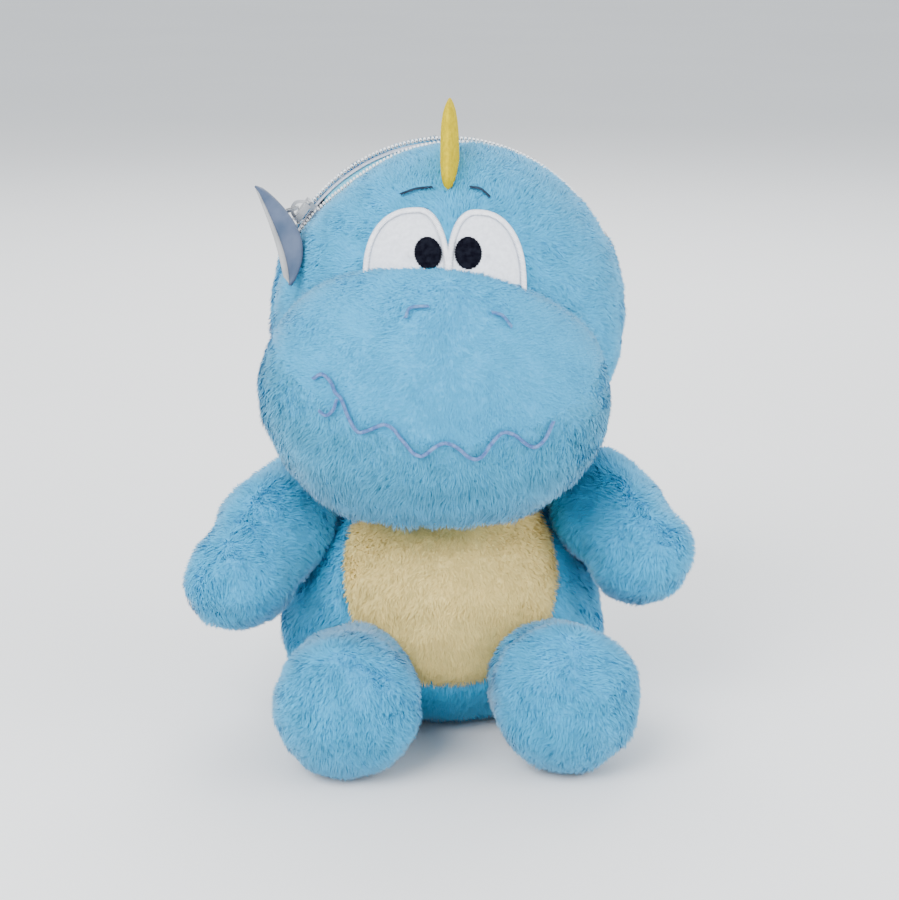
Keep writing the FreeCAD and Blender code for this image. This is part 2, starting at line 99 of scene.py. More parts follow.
# Torso: an egg, wider than it is deep, with an oval belly patch.
TORSO_MID = np.array([0.0, 2.0, 24.0])
TORSO_R, TORSO_HIGH, TORSO_LOW, DEPTH_RATIO = 53.0, 52.9, 27.9, 0.78
TORSO_TOP_Z = 73.6
BELLY_Z, BELLY_R = 50.0, (33.5, 31.0)
# How far the cloth lies inside the finished outline, to leave room for its pile.
PILE = 1.3
FLOOR_CLEAR = 2.2
BISECTIONS = 26
MOST_BLADES = 65000
THREAD_SIDES = 6


# ---------------------------------------- shapes
def unit(v):
    """Rows scaled to length 1."""
    return v / np.maximum(np.linalg.norm(v, axis=-1, keepdims=True), 1e-9)


def waves(p, scale, seed):
    """Smooth noise of about -1 to 1 at points p, with features of that size."""
    r = np.random.default_rng(seed)
    total = np.zeros(len(p))
    for _ in range(8):
        direction = unit(r.normal(size=3)) * (2 * math.pi / scale * r.uniform(0.6, 1.3))
        total += np.sin(p @ direction + r.uniform(0, 2 * math.pi))
    return total / 3.2


def soft_min(a, b, k):
    """The lower of two fields, blended where they are within k of each other."""
    h = np.clip(0.5 + 0.5 * (b - a) / k, 0, 1)
    return b * (1 - h) + a * h - k * h * (1 - h)


def bump(distance, width):
    """A smooth hump of height 1 at distance 0."""
    return np.exp(-((distance / width) ** 2))


def ellipsoid(p, centre, radii):
    """Signed distance to an ellipsoid, below 0 inside."""
    q = p - centre
    near = np.linalg.norm(q / radii, axis=1)
    slope = np.linalg.norm(q / radii ** 2, axis=1)
    return near * (near - 1) / np.maximum(slope, 1e-6)


def unroll(p):
    """Turns points back by the face's small tilt."""
    q = p - FACE
    c, s = math.cos(-FACE_ROLL), math.sin(-FACE_ROLL)
    return np.stack([q[:, 0] * c + q[:, 2] * s, q[:, 1], q[:, 2] * c - q[:, 0] * s], axis=1) + FACE


def skull_field(p):
    return ellipsoid(p, HEAD, HEAD_R) + PILE - 0.35 * waves(p, 31, 3)


def muzzle_field(p):
    return ellipsoid(unroll(p), MUZZLE, MUZZLE_R) + PILE - 0.7 * waves(p, 34, 4)


def mouth_gap(p):
    """How far points lie below the seam between snout and chin, on the front."""
    q = unroll(p)
    return np.hypot(q[:, 0] - MOUTH_ARC[0][0], q[:, 2] - MOUTH_ARC[0][1]) - MOUTH_ARC[1]


def zip_angle(p):
    """Degrees round the zip's arc from its top, towards the toy's left."""
    return np.degrees(np.arctan2(p[:, 0] - HEAD[0], p[:, 2] - HEAD[2]))


def lip_dent(p):
    """How far the front lip of the open pouch sags."""
    along = bump(zip_angle(p) - LIP_ANGLE, LIP_SPREAD)
    back_to = np.clip((p[:, 1] + 26) / 21.5, 0, 1)
    return LIP_SAG * along * back_to * back_to * (p[:, 1] < 2) * (p[:, 2] > HEAD[2])


def head_field(p):
    skull, muzzle = skull_field(p), muzzle_field(p)
    groove = 1.5 * bump(skull - muzzle, 2.4) * (p[:, 1] < -6)
    groove = groove + 0.25 * bump(mouth_gap(p), 2.0) * (muzzle < skull) * (p[:, 1] < -10)
    groove = groove + 0.8 * bump(p[:, 1] - SLOT_Y[0], 1.6) + 0.8 * bump(p[:, 1] - SLOT_Y[1], 1.6)
    return np.maximum(soft_min(skull, muzzle, 2.5) + groove + lip_dent(p), NECK_Z - p[:, 2])


def torso_radius(z):
    up = np.clip((z - TORSO_MID[2]) / TORSO_HIGH, 0, 0.999)
    down = np.clip((TORSO_MID[2] - z) / TORSO_LOW, 0, 0.999)
    return TORSO_R * np.sqrt(1 - np.maximum(up, down) ** 2)


def belly_gap(p):
    """Below 1 inside the belly patch's outline, on the front."""
    return np.hypot((p[:, 0] - 1) / BELLY_R[0], (p[:, 2] - BELLY_Z) / BELLY_R[1])


def torso_field(p):
    reach = np.hypot(p[:, 0], (p[:, 1] - TORSO_MID[1]) / DEPTH_RATIO)
    groove = 1.1 * bump((belly_gap(p) - 1) * 30, 1.8) * (p[:, 1] < 0)
    groove = groove + 1.0 * bump(p[:, 1] - TORSO_MID[1], 1.8)
    swell = 1.3 * np.clip(1 - belly_gap(p), 0, 1) * (p[:, 1] < 0)
    return reach - torso_radius(p[:, 2]) + PILE + groove - swell - 0.7 * waves(p, 27, 5)


def round_cone(p, a, b, r1, r2):
    """Distance to a capsule that goes from radius r1 at a to r2 at b."""
    ba = b - a
    l2 = ba @ ba
    rr = r1 - r2
    a2 = l2 - rr * rr
    pa = p - a
    y = pa @ ba
    z = y - l2
    x2 = ((pa * l2 - ba * y[:, None]) ** 2).sum(axis=1)
    y2, z2 = y * y * l2, z * z * l2
    k = np.sign(rr) * rr * rr * x2
    d = (np.sqrt(x2 * a2 / l2) + y * rr) / l2 - r1
    d = np.where(np.sign(y) * a2 * y2 < k, np.sqrt(x2 + y2) / l2 - r1, d)
    return np.where(np.sign(z) * a2 * z2 > k, np.sqrt(x2 + z2) / l2 - r2, d)


def limb_field(root, end, r1, r2, seed, swell):
    """A stuffed limb: a round cone, fuller in the middle, with soft lumps and a seam down each side."""
    axis = unit(end - root)
    side = unit(np.cross(axis, np.array([0.0, 0.0, 1.0])))
    middle = root * 0.62 + end * 0.38

    def field(p):
        core = round_cone(p, root, end, r1, r2)
        core = soft_min(core, np.linalg.norm(p - middle, axis=1) - (0.45 * r1 + 0.55 * r2 + swell), 7)
        flat = np.abs((p - root) @ np.cross(side, axis))
        seam = 0.3 * bump(flat, 1.6)
        return core + PILE * 0.8 + seam - 0.75 * waves(p, 24, seed) - 0.12 * waves(p, 9, seed + 40)
    return field


class Skin:
    """A closed or open surface as arrays: points, faces with four or three corners, point normals."""

    def __init__(self, points, quads, tris):
        self.v = points
        self.quads = np.array(quads, int).reshape(-1, 4)
        self.tris = np.array(tris, int).reshape(-1, 3)
        cut = np.concatenate([self.quads[:, [0, 1, 2]], self.quads[:, [0, 2, 3]], self.tris])
        self.cut = cut
        area = np.cross(points[cut[:, 1]] - points[cut[:, 0]], points[cut[:, 2]] - points[cut[:, 0]])
        self.area = np.linalg.norm(area, axis=1) / 2
        self.n = np.zeros_like(points)
        for corner in range(3):
            np.add.at(self.n, cut[:, corner], area)
        self.n = unit(self.n)

    def part(self, keep):
        """The faces whose centre passes keep, with the whole surface's normals."""
        quads = self.quads[keep(self.v[self.quads].mean(axis=1))] if len(self.quads) else self.quads
        tris = self.tris[keep(self.v[self.tris].mean(axis=1))] if len(self.tris) else self.tris
        used = np.unique(np.concatenate([quads.ravel(), tris.ravel()]))
        index = np.full(len(self.v), -1)
        index[used] = np.arange(len(used))
        piece = Skin(self.v[used], index[quads], index[tris])
        piece.n = self.n[used]
        return piece


def rings(origin, axis, across, up, stations, field, count, drift=None, reach=90.0):
    """A skin made of rings round an axis, each point moved out until it meets the field's surface."""
    angle = np.linspace(0, 2 * math.pi, count, endpoint=False)
    out = np.outer(np.cos(angle), across) + np.outer(np.sin(angle), up)
    centres = np.array([origin + axis * s + (drift(s) if drift else 0) for s in stations])
    base = np.repeat(centres, count, axis=0)
    way = np.tile(out, (len(stations), 1))
    low, high = np.zeros(len(base)), np.full(len(base), reach)
    for _ in range(BISECTIONS):
        half = (low + high) / 2
        inside = field(base + way * half[:, None]) < 0
        low, high = np.where(inside, half, low), np.where(inside, high, half)
    points = np.concatenate([base + way * low[:, None], centres[:1], centres[-1:]])
    i, j = np.meshgrid(np.arange(len(stations) - 1), np.arange(count), indexing="ij")
    a, b = i * count + j, i * count + (j + 1) % count
    quads = np.stack([a, b, b + count, a + count], axis=-1).reshape(-1, 4)
    ring = np.arange(count)
    last = (len(stations) - 1) * count
    first_fan = np.stack([(ring + 1) % count, ring, np.full(count, len(base))], axis=1)
    last_fan = np.stack([last + ring, last + (ring + 1) % count, np.full(count, len(base) + 1)], axis=1)
    skin = Skin(points, quads, np.concatenate([first_fan, last_fan]))
    if ((skin.v - skin.v.mean(axis=0)) * skin.n).sum() < 0:
        skin = Skin(points, quads[:, ::-1], np.concatenate([first_fan, last_fan])[:, ::-1])
    return skin


def dome_steps(start, end, count):
    """Stations from one end to the other, closer together near both ends."""
    t = (1 - np.cos(np.linspace(0, math.pi, count))) / 2
    return start + (end - start) * t


# ---------------------------------------- materials
def nodes_of(name):
    material = bpy.data.materials.new(name)
    material.use_nodes = True
    return material, material.node_tree, material.node_tree.nodes["Principled BSDF"]


def plain(name, colour, rough=0.9, sheen=0.0):
    """A strand tint: its constants sit on the shader's own sockets."""
    material, _, shader = nodes_of(name)
    shader.inputs["Base Color"].default_value = (*colour, 1)
    shader.inputs["Roughness"].default_value = rough
    shader.inputs["Specular IOR Level"].default_value = 0.2
    shader.inputs["Sheen Weight"].default_value = sheen
    shader.inputs["Sheen Roughness"].default_value = 0.5
    return material


def woven(name, dark, light, scale, rough=0.85, metal=0.0, bump_by=0.25, stretch=(1, 1, 1), sheen=0.0,
          shine=0.4):
    """A patterned finish: two tones mixed by noise, the same noise as fine relief."""
    material, tree, shader = nodes_of(name)
    place = tree.nodes.new("ShaderNodeTexCoord")
    mapping = tree.nodes.new("ShaderNodeMapping")
    mapping.inputs["Scale"].default_value = stretch
    shader.inputs["Specular IOR Level"].default_value = shine
    noise = tree.nodes.new("ShaderNodeTexNoise")
    noise.inputs["Scale"].default_value = scale
    noise.inputs["Detail"].default_value = 4.0
    ramp = tree.nodes.new("ShaderNodeValToRGB")
    ramp.color_ramp.elements[0].position = 0.35
    ramp.color_ramp.elements[0].color = (*dark, 1)
    ramp.color_ramp.elements[1].position = 0.65
    ramp.color_ramp.elements[1].color = (*light, 1)
    relief = tree.nodes.new("ShaderNodeBump")
    relief.inputs["Strength"].default_value = bump_by
    relief.inputs["Distance"].default_value = 0.0004
    link = tree.links.new
    link(place.outputs["Object"], mapping.inputs["Vector"])
    link(mapping.outputs["Vector"], noise.inputs["Vector"])
    link(noise.outputs["Fac"], ramp.inputs["Fac"])
    link(ramp.outputs["Color"], shader.inputs["Base Color"])
    link(noise.outputs["Fac"], relief.inputs["Height"])
    link(relief.outputs["Normal"], shader.inputs["Normal"])
    shader.inputs["Roughness"].default_value = rough
    shader.inputs["Metallic"].default_value = metal
    shader.inputs["Sheen Weight"].default_value = sheen
    return material


def tints(name, colour, spread=0.12):
    """Four strand tints round one colour, from shaded to sunlit."""
    steps = (-1.5, -0.5, 0.5, 1.5)
    made = []
    for number, step in enumerate(steps):
        shade = [min(1.0, c * (1 + spread * step)) for c in colour]
        made.append(plain(f"{name}_{number}", shade, sheen=0.25))
    return made


BLUE = (0.028, 0.40, 0.70)
PALE_BLUE = (0.04, 0.36, 0.60)
CREAM = (0.80, 0.64, 0.24)
BLUE_TINTS = tints("blue_strands", BLUE, 0.07)
SNOUT_TINTS = tints("snout_strands", (0.03, 0.40, 0.70), 0.035)
CHIN_TINTS = tints("chin_strands", PALE_BLUE, 0.08)
CREAM_TINTS = tints("cream_strands", CREAM, 0.05)
BLUE_BACKING = woven("blue_backing", (0.03, 0.35, 0.62), (0.04, 0.38, 0.66), 900)
CREAM_BACKING = woven("cream_backing", (0.70, 0.55, 0.20), (0.78, 0.62, 0.24), 900)
FELT = woven("yellow_felt", (0.44, 0.33, 0.001), (0.58, 0.44, 0.002), 700, bump_by=0.5, shine=0.1)
WHITE_FELT = woven("white_felt", (0.66, 0.69, 0.76), (0.78, 0.81, 0.88), 800, bump_by=0.4, sheen=0.3)
WHITE_SATIN = woven("white_satin", (0.78, 0.80, 0.86), (0.92, 0.93, 0.97), 600, rough=0.42, bump_by=0.1)
BLACK_SATIN = woven("black_satin", (0.002, 0.002, 0.006), (0.008, 0.009, 0.016), 700,
                    rough=0.8, bump_by=0.2, shine=0.04)
DARK_THREAD = woven("dark_thread", (0.01, 0.02, 0.04), (0.03, 0.05, 0.08), 700,
                    rough=0.7, bump_by=0.1, shine=0.1)
SILVER_THREAD = woven("silver_thread", (0.05, 0.14, 0.34), (0.14, 0.27, 0.48), 700,
                      rough=0.6, bump_by=0.1, shine=0.2)
GREY_THREAD = woven("grey_thread", (0.06, 0.13, 0.33), (0.16, 0.26, 0.50), 700,
                    rough=0.6, bump_by=0.1, shine=0.2)
LINING = woven("lining_cloth", (0.10, 0.42, 0.58), (0.16, 0.52, 0.68), 500, stretch=(1, 1, 2.5))
TAPE = woven("zip_tape", (0.50, 0.53, 0.62), (0.66, 0.69, 0.78), 900, stretch=(1, 3, 1), bump_by=0.5)
NYLON = woven("nylon_coil", (0.78, 0.80, 0.82), (0.92, 0.93, 0.94), 400, rough=0.35, bump_by=0.1)
NICKEL = woven("nickel", (0.52, 0.53, 0.55), (0.66, 0.67, 0.69), 300, rough=0.28, metal=1.0, bump_by=0.06)
WEBBING = woven("webbing", (0.06, 0.25, 0.42), (0.12, 0.36, 0.55), 600, stretch=(3, 1, 1), bump_by=0.6)
# The tag's two leaves are one grey card in two copies. This lighter grey is painted light: the leaf is
# coloured as the card looks where light falls on it.
CARD_PAINTED_LIT = woven("tag_card_light", (0.30, 0.31, 0.32), (0.38, 0.39, 0.40), 120, rough=0.5, bump_by=0.05)
# Painted shade: the same card coloured dark blue-grey, as the leaf looks when it lies in shadow.
CARD_PAINTED_SHADE = woven("tag_card_dark", (0.05, 0.08, 0.14), (0.09, 0.12, 0.19), 120,
                  rough=0.5, bump_by=0.05, shine=0.2)
CLEAR = woven("clear_nylon", (0.80, 0.84, 0.88), (0.90, 0.93, 0.95), 200, rough=0.2, bump_by=0.05)


# ---------------------------------------- mesh makers
def mesh_object(name, points, faces, materials):
    """A smooth-shaded mesh from points in millimetres and lists of faces."""
    mesh = bpy.data.meshes.new(name)
    mesh.from_pydata((np.asarray(points) * TO_M).tolist(), [], [list(map(int, face)) for face in faces])
    for material in materials:
        mesh.materials.append(material)
    mesh.polygons.foreach_set("use_smooth", np.ones(len(mesh.polygons), bool))
    mesh.update()
    made = bpy.data.objects.new(name, mesh)
    bpy.context.scene.collection.objects.link(made)
    return made


def grid_faces(rows, columns, start=0):
    """Faces between neighbouring rows of points."""
    faces = []
    for k in range(rows - 1):
        for j in range(columns - 1):
            a = start + k * columns + j
            faces.append((a, a + 1, a + 1 + columns, a + columns))
    return faces


def sleeve_faces(rows, around, start=0):
    """Faces between neighbouring rows of points, where each row is a closed loop."""
    faces = []
    for k in range(rows - 1):
        for j in range(around):
            a, b = start + k * around + j, start + k * around + (j + 1) % around
            faces.append((a, b, b + around, a + around))
    return faces


def turned(faces):
    """The same four-cornered faces, seen from the other side."""
    return [(b, a, d, c) for a, b, c, d in faces]


def thicken(made, thick, offset=-1.0):
    """Gives a single surface its cloth thickness, inwards unless told otherwise."""
    shell = made.modifiers.new("thickness", "SOLIDIFY")
    shell.thickness = thick * TO_M
    shell.offset = offset


def finish_piece(made, body, stands_for=()):
    """Hides the CAD nodes that a piece replaces and hangs the piece on the body that it rides on."""
    if stands_for:
        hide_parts(*stands_for)
    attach(made, body)
    return made


def panel(name, skin, material, body, stands_for, thick=1.4):
    """A sewn panel of backing cloth, with its thickness turned inwards."""
    made = mesh_object(name, skin.v, [*skin.quads, *skin.tris], [material])
    thicken(made, thick)
    finish_piece(made, body, stands_for)
    return made


def strands(name, skin, body, paints, length, comb, seed, density=2.6, width=0.42, lean=0.95,
            clump=0.3, rough=1.0, keep=None):
    """Pile: combed blades rooted on a skin, gathered into soft tufts."""
    r = np.random.default_rng(seed)
    count = min(MOST_BLADES, int(skin.area.sum() * density))
    pick = r.choice(len(skin.cut), count, p=skin.area / skin.area.sum())
    share = r.dirichlet((1, 1, 1), count)
    corners = skin.cut[pick]
    root = (skin.v[corners] * share[:, :, None]).sum(axis=1)
    out = unit((skin.n[corners] * share[:, :, None]).sum(axis=1))
    if keep is not None:
        kept = keep(root)
        root, out = root[kept], out[kept]
        count = len(root)
    way = comb(root)
    way = unit(way - out * (way * out).sum(axis=1)[:, None])
    side = np.cross(out, way)
    drift = 0.5 * waves(root, 18, seed) + rough * 0.45 * waves(root, 7, seed + 1)
    turn = drift + r.normal(0, 0.2, count)
    way = way * np.cos(turn)[:, None] + side * np.sin(turn)[:, None]
    tilt = lean + rough * 0.2 * waves(root, 8, seed + 2) + r.normal(0, 0.13, count)
    tilt = np.clip(tilt, 0.1, 1.35)[:, None]
    reach = length(root) if callable(length) else length
    tall = (reach * (1 + 0.12 * waves(root, 10, seed + 3)) * r.uniform(0.75, 1.2, count))[:, None]
    first = out * np.cos(tilt * 0.6) + way * np.sin(tilt * 0.6)
    second = out * np.cos(tilt * 1.15) + way * np.sin(tilt * 1.15)
    base = root - out * 0.3
    middle = base + first * tall * 0.5
    tip = middle + second * tall * 0.55
    leaders = r.choice(count, max(4, count // 14), replace=False)
    tree = KDTree(len(leaders))
    for number, leader in enumerate(leaders):
        tree.insert(root[leader], number)
    tree.balance()
    near = leaders[np.array([tree.find(point)[1] for point in root])]
    tip = tip + (tip[near] - tip) * clump
    twist = r.normal(0, 0.5, count)[:, None]
    broad = unit(np.cross(first, out + second * 0.3) + out * twist) * (width / 2)
    points = np.stack([base - broad, base + broad, middle + broad * 0.8, middle - broad * 0.8, tip], axis=1)
    start = np.arange(count)[:, None] * 5
    loops = np.concatenate([start + [0, 1, 2, 3], start + [3, 2, 4]], axis=1).ravel()
    starts = (np.arange(count)[:, None] * 7 + [0, 4]).ravel()
    tone = 1.5 + 1.1 * waves(root, 9, seed + 5) + r.normal(0, 0.8, count)
    slots = np.repeat(np.clip(np.round(tone), 0, len(paints) - 1).astype(np.int32), 2)
    mesh = bpy.data.meshes.new(name)
    mesh.vertices.add(count * 5)
    mesh.vertices.foreach_set("co", (points * TO_M).ravel())
    mesh.loops.add(len(loops))
    mesh.loops.foreach_set("vertex_index", loops.astype(np.int32))
    mesh.polygons.add(count * 2)
    mesh.polygons.foreach_set("loop_start", starts.astype(np.int32))
    for paint in paints:
        mesh.materials.append(paint)
    mesh.polygons.foreach_set("material_index", slots)
    mesh.polygons.foreach_set("use_smooth", np.ones(count * 2, bool))
    mesh.update(calc_edges=True)
    shade = unit(out + second * 0.12 + r.normal(0, 0.05, (count, 3)))
    mesh.normals_split_custom_set_from_vertices(np.repeat(shade, 5, axis=0).tolist())
    made = bpy.data.objects.new(name, mesh)
    bpy.context.scene.collection.objects.link(made)
    return finish_piece(made, body)


def smooth_path(points, step):
    """A Catmull-Rom line through points, cut into even steps."""
    p = np.array(points, float)
    p = np.concatenate([[2 * p[0] - p[1]], p, [2 * p[-1] - p[-2]]])
    dense = []
    for k in range(1, len(p) - 2):
        t = np.linspace(0, 1, 24, endpoint=False)[:, None]
        a, b, c, d = p[k - 1], p[k], p[k + 1], p[k + 2]
        dense.append(0.5 * (2 * b + (c - a) * t + (2 * a - 5 * b + 4 * c - d) * t ** 2
                            + (3 * b - a - 3 * c + d) * t ** 3))
    dense = np.concatenate([*dense, p[-2:-1]])
    far = np.concatenate([[0], np.cumsum(np.linalg.norm(np.diff(dense, axis=0), axis=1))])
    at = np.linspace(0, far[-1], max(2, int(far[-1] / step) + 1))
    return np.stack([np.interp(at, far, dense[:, k]) for k in range(p.shape[1])], axis=1)


def normals_at(p, field):
    """Outward normals of a field's surface at points p."""
    step = 0.05
    return unit(np.stack([field(p + step * e) - field(p - step * e) for e in np.eye(3)], axis=1))


def on_front(xz, field, lift):
    """Points on the front of a field at these x and z, and the normals there."""
    xz = np.asarray(xz, float)
    low, high = np.full(len(xz), -76.0), np.full(len(xz), -12.0)
    for _ in range(BISECTIONS):
        half = (low + high) / 2
        outside = field(np.stack([xz[:, 0], half, xz[:, 1]], axis=1)) > 0
        low, high = np.where(outside, half, low), np.where(outside, high, half)
    p = np.stack([xz[:, 0], high, xz[:, 1]], axis=1)
    n = normals_at(p, field)
    return p + n * lift, n


def satin(name, path, normal, width, pitch, thick, material, body, stands_for=(), slant=0.0):
    """Satin stitches laid side by side across a path."""
    along = unit(np.gradient(path, axis=0))
    cross = unit(np.cross(along, normal))
    cross = unit(cross + along * slant)
    u = np.array([-1.0, -0.8, -0.35, 0.35, 0.8, 1.0])
    rise = np.array([0.0, 0.62, 1.0, 1.0, 0.62, 0.0])
    around = np.linspace(0, 2 * math.pi, THREAD_SIDES, endpoint=False)
    points, faces = [], []
    for p, a, c, n in zip(path, along, cross, normal):
        faces.extend(sleeve_faces(len(u), THREAD_SIDES, len(points)))
        for place, high in zip(u, rise):
            for angle in around:
                beside = a * (math.cos(angle) * pitch * 0.62 * max(high, 0.05))
                above = n * (thick * (high * (0.9 + math.sin(angle) * 0.6) - 0.6))
                points.append(p + c * (place * width / 2) + beside + above)
    made = mesh_object(name, points, faces, [material])
    return finish_piece(made, body, stands_for)


def pillow(name, outline, thick, place, material, body, stands_for, seam=0.25):
    """Two shaped felts sewn edge to edge and filled: outline in its own plane, place() puts it on the toy."""
    edge = smooth_path([*outline, outline[0]], 1.0)[:-1]
    middle = edge.mean(axis=0)
    steps = [1.0, 0.97, 0.9, 0.78, 0.6, 0.38, 0.18]
    points, faces = [], []
    for sign in (1, -1):
        start = len(points)
        for s in steps:
            height = thick / 2 * (1 - s ** 2.6) ** 0.62 + (seam if s == 1.0 else 0)
            ring = middle + (edge - middle) * s
            points.extend(np.stack([ring[:, 0], ring[:, 1], np.full(len(ring), sign * height)], axis=1))
        points.append(np.array([middle[0], middle[1], sign * thick / 2]))
        walls = sleeve_faces(len(steps), len(edge), start)
        faces.extend(walls if sign > 0 else turned(walls))
        last = start + (len(steps) - 1) * len(edge)
        for j in range(len(edge)):
            a, b = last + j, last + (j + 1) % len(edge)
            faces.append((a, b, len(points) - 1) if sign > 0 else (b, a, len(points) - 1))
        if sign > 0:
            front = start
    back = len(points) // 2
    for j in range(len(edge)):
        a, b = front + j, front + (j + 1) % len(edge)
        faces.append((b, a, a + back, b + back))
    made = mesh_object(name, place(np.array(points)), faces, [material])
    finish_piece(made, body, stands_for)
    return made


# ---------------------------------------- head
def head_drift(y):
    """The ring centres lean from the skull's axis towards the muzzle's, moved a little by the roll."""
    t = np.clip((SLOT_Y[0] - y) / DRIFT_DEPTH, 0, 1)
    return np.array([(MUZZLE[0] - 1.5 - HEAD[0]) * t, 0, (MUZZLE[2] - HEAD[2]) * t])


# Half a set of dome steps each way, so that the stations crowd only towards the two ends.
FRONT_RINGS, REAR_RINGS = 81, 51
front = dome_steps(HEAD_FRONT_Y, 2 * SLOT_Y[0] - HEAD_FRONT_Y, 2 * FRONT_RINGS - 1)[:FRONT_RINGS]
front[-1] = SLOT_Y[0]
rear = dome_steps(2 * SLOT_Y[1] - HEAD_REAR_Y, HEAD_REAR_Y, 2 * REAR_RINGS - 1)[REAR_RINGS - 1:]
rear[0] = SLOT_Y[1]
middle_y = np.linspace(SLOT_Y[0], SLOT_Y[1], 12)[1:-1]
head_stations = np.concatenate([front, middle_y, rear])
head = rings(HEAD, np.array([0.0, 1, 0]), np.array([1.0, 0, 0]), np.array([0.0, 0, 1]),
             head_stations, head_field, 256, drift=head_drift)


def on_neck(p):
    return p[:, 2] < NECK_Z + 0.3


def in_muzzle(p):
    return (muzzle_field(p) < skull_field(p)) & (p[:, 1] < SLOT_Y[0]) & ~on_neck(p)


def in_chin(p):
    low_skull = (p[:, 2] < CHIN_TOP_Z) & (p[:, 1] < SLOT_Y[0]) & ~on_neck(p) & ~in_muzzle(p)
    return in_muzzle(p) & (mouth_gap(p) > 0) | low_skull


def in_snout(p):
    return in_muzzle(p) & ~in_chin(p)


def in_forehead(p):
    return (p[:, 1] < SLOT_Y[0]) & ~in_muzzle(p) & ~in_chin(p) & ~on_neck(p)


def in_gusset(p):
    return (p[:, 1] >= SLOT_Y[0]) & (p[:, 1] <= SLOT_Y[1]) & (p[:, 2] <= SLOT_LOW_Z) & ~on_neck(p)


forehead = head.part(in_forehead)
snout = head.part(in_snout)
chin = head.part(in_chin)
gusset_left = head.part(lambda p: in_gusset(p) & (p[:, 0] < HEAD[0]))
gusset_right = head.part(lambda p: in_gusset(p) & (p[:, 0] >= HEAD[0]))
head_back = head.part(lambda p: (p[:, 1] > SLOT_Y[1]) & ~on_neck(p))
neck = head.part(on_neck)

panel("forehead_plush", forehead, BLUE_BACKING, "head", ["forehead_panel", "head_stuffing"])
panel("snout_plush", snout, BLUE_BACKING, "head", ["snout_panel"])
panel("chin_plush", chin, BLUE_BACKING, "head", ["chin_panel"])
panel("gusset_left_plush", gusset_left, BLUE_BACKING, "head", ["head_gusset_left"])
panel("gusset_right_plush", gusset_right, BLUE_BACKING, "head", ["head_gusset_right"])
panel("head_back_plush", head_back, BLUE_BACKING, "head", ["head_back_panel"])
panel("neck_plush", neck, BLUE_BACKING, "head", ["neck_panel"])


# ---------------------------------------- face
# How square the domes of the eye whites are, and the height that their curve starts from.
EYE_BEND = 2.3
EYE_FOOT = 147
PUPILS = ((-7, 155), (4.5, 155))
PUPIL_R = (3.9, 4.25)
BROWS = (((-14, 170), (-9.5, 171.5), (-5, 172)), ((6, 172), (9, 171.5), (11.5, 169.5)))
NOSTRILS = (((-14.5, 139), (-13, 141.5), (-8, 142)), ((10, 140), (13, 139), (15.5, 136)))
# The mouth: a hook at its end, then a wave through these low and high turning points.
MOUTH_HOOK = ((-40.5, 121), (-38, 122.5), (-35.5, 120.5))
MOUTH_TURNS = ((-34.5, 118), (-28, 107), (-20.5, 110), (-11, 101), (-4, 105), (5, 99.5), (13, 107),
               (22.5, 101.5), (33, 115))
MOUTH_END = 30
MOUTH_CURL = ((-39, 112), (-37, 111), (-35, 113), (-34, 116))
FACE_LINES = []


def eye_dome(left, right, top, feet):
    """Outline of one eye white from its left foot over the top to its right foot."""
    outline = [(left, feet[0])]
    for angle in np.radians(np.linspace(0, 180, 15)):
        side = left if angle < math.pi / 2 else right
        across = abs(math.cos(angle)) ** (2 / EYE_BEND)
        rise = math.sin(angle) ** (2 / EYE_BEND)
        outline.append((top[0] + (side - top[0]) * across, EYE_FOOT + (top[1] - EYE_FOOT) * rise))
    return outline + [(right, feet[1])]


def wave(turns, last):
    """A rounded wave through its turning points, cut off at x = last."""
    points = []
    for (x0, z0), (x1, z1) in zip(turns, turns[1:]):
        for share in (0.0, 0.25, 0.5, 0.75):
            x = x0 + (x1 - x0) * share
            if x <= last:
                points.append((x, z0 + (z1 - z0) * (1 - math.cos(math.pi * share)) / 2))
    return points


LEFT_EYE = eye_dome(-25, -1.4, (-9.2, 166.4), (145.5, 144.5))
RIGHT_EYE = eye_dome(-1.2, 20.6, (7.2, 165.8), (144, 141))
MOUTH = list(MOUTH_HOOK) + wave(MOUTH_TURNS, MOUTH_END)


def eye_patch(name, outline, stands_for):
    """A thin felt dome on the skull with a satin border; returns its outline, kept clear of pile."""
    edge = smooth_path(outline, 0.8)
    bottom = smooth_path([outline[-1], outline[0]], 0.8)[1:-1]
    loop = np.concatenate([edge, bottom])
    middle = np.array([loop[:, 0].mean(), 154.0])
    steps = (1.0, 0.96, 0.86, 0.72, 0.55, 0.36, 0.18, 0.0)
    points = []
    for s in steps:
        ring = middle + (loop - middle) * s
        p, _ = on_front(ring, skull_field, 0.4 + 1.1 * (1 - s ** 3) + (0 if s < 1 else -0.6))
        points.extend(p)
    made = mesh_object(name, points, turned(sleeve_faces(len(steps), len(loop))), [WHITE_FELT])
    thicken(made, 1.2)
    finish_piece(made, "head", stands_for)
    path, normal = on_front(smooth_path(outline, 0.42), skull_field, 1.15)
    satin(name + "_edge_stitching", path, normal, 2.1, 0.42, 0.45, WHITE_SATIN, "head",
          slant=0.15)
    return loop


EYE_LOOPS = [eye_patch("eye_white_left", LEFT_EYE, ["eye_whites"]),
             eye_patch("eye_white_right", RIGHT_EYE, [])]


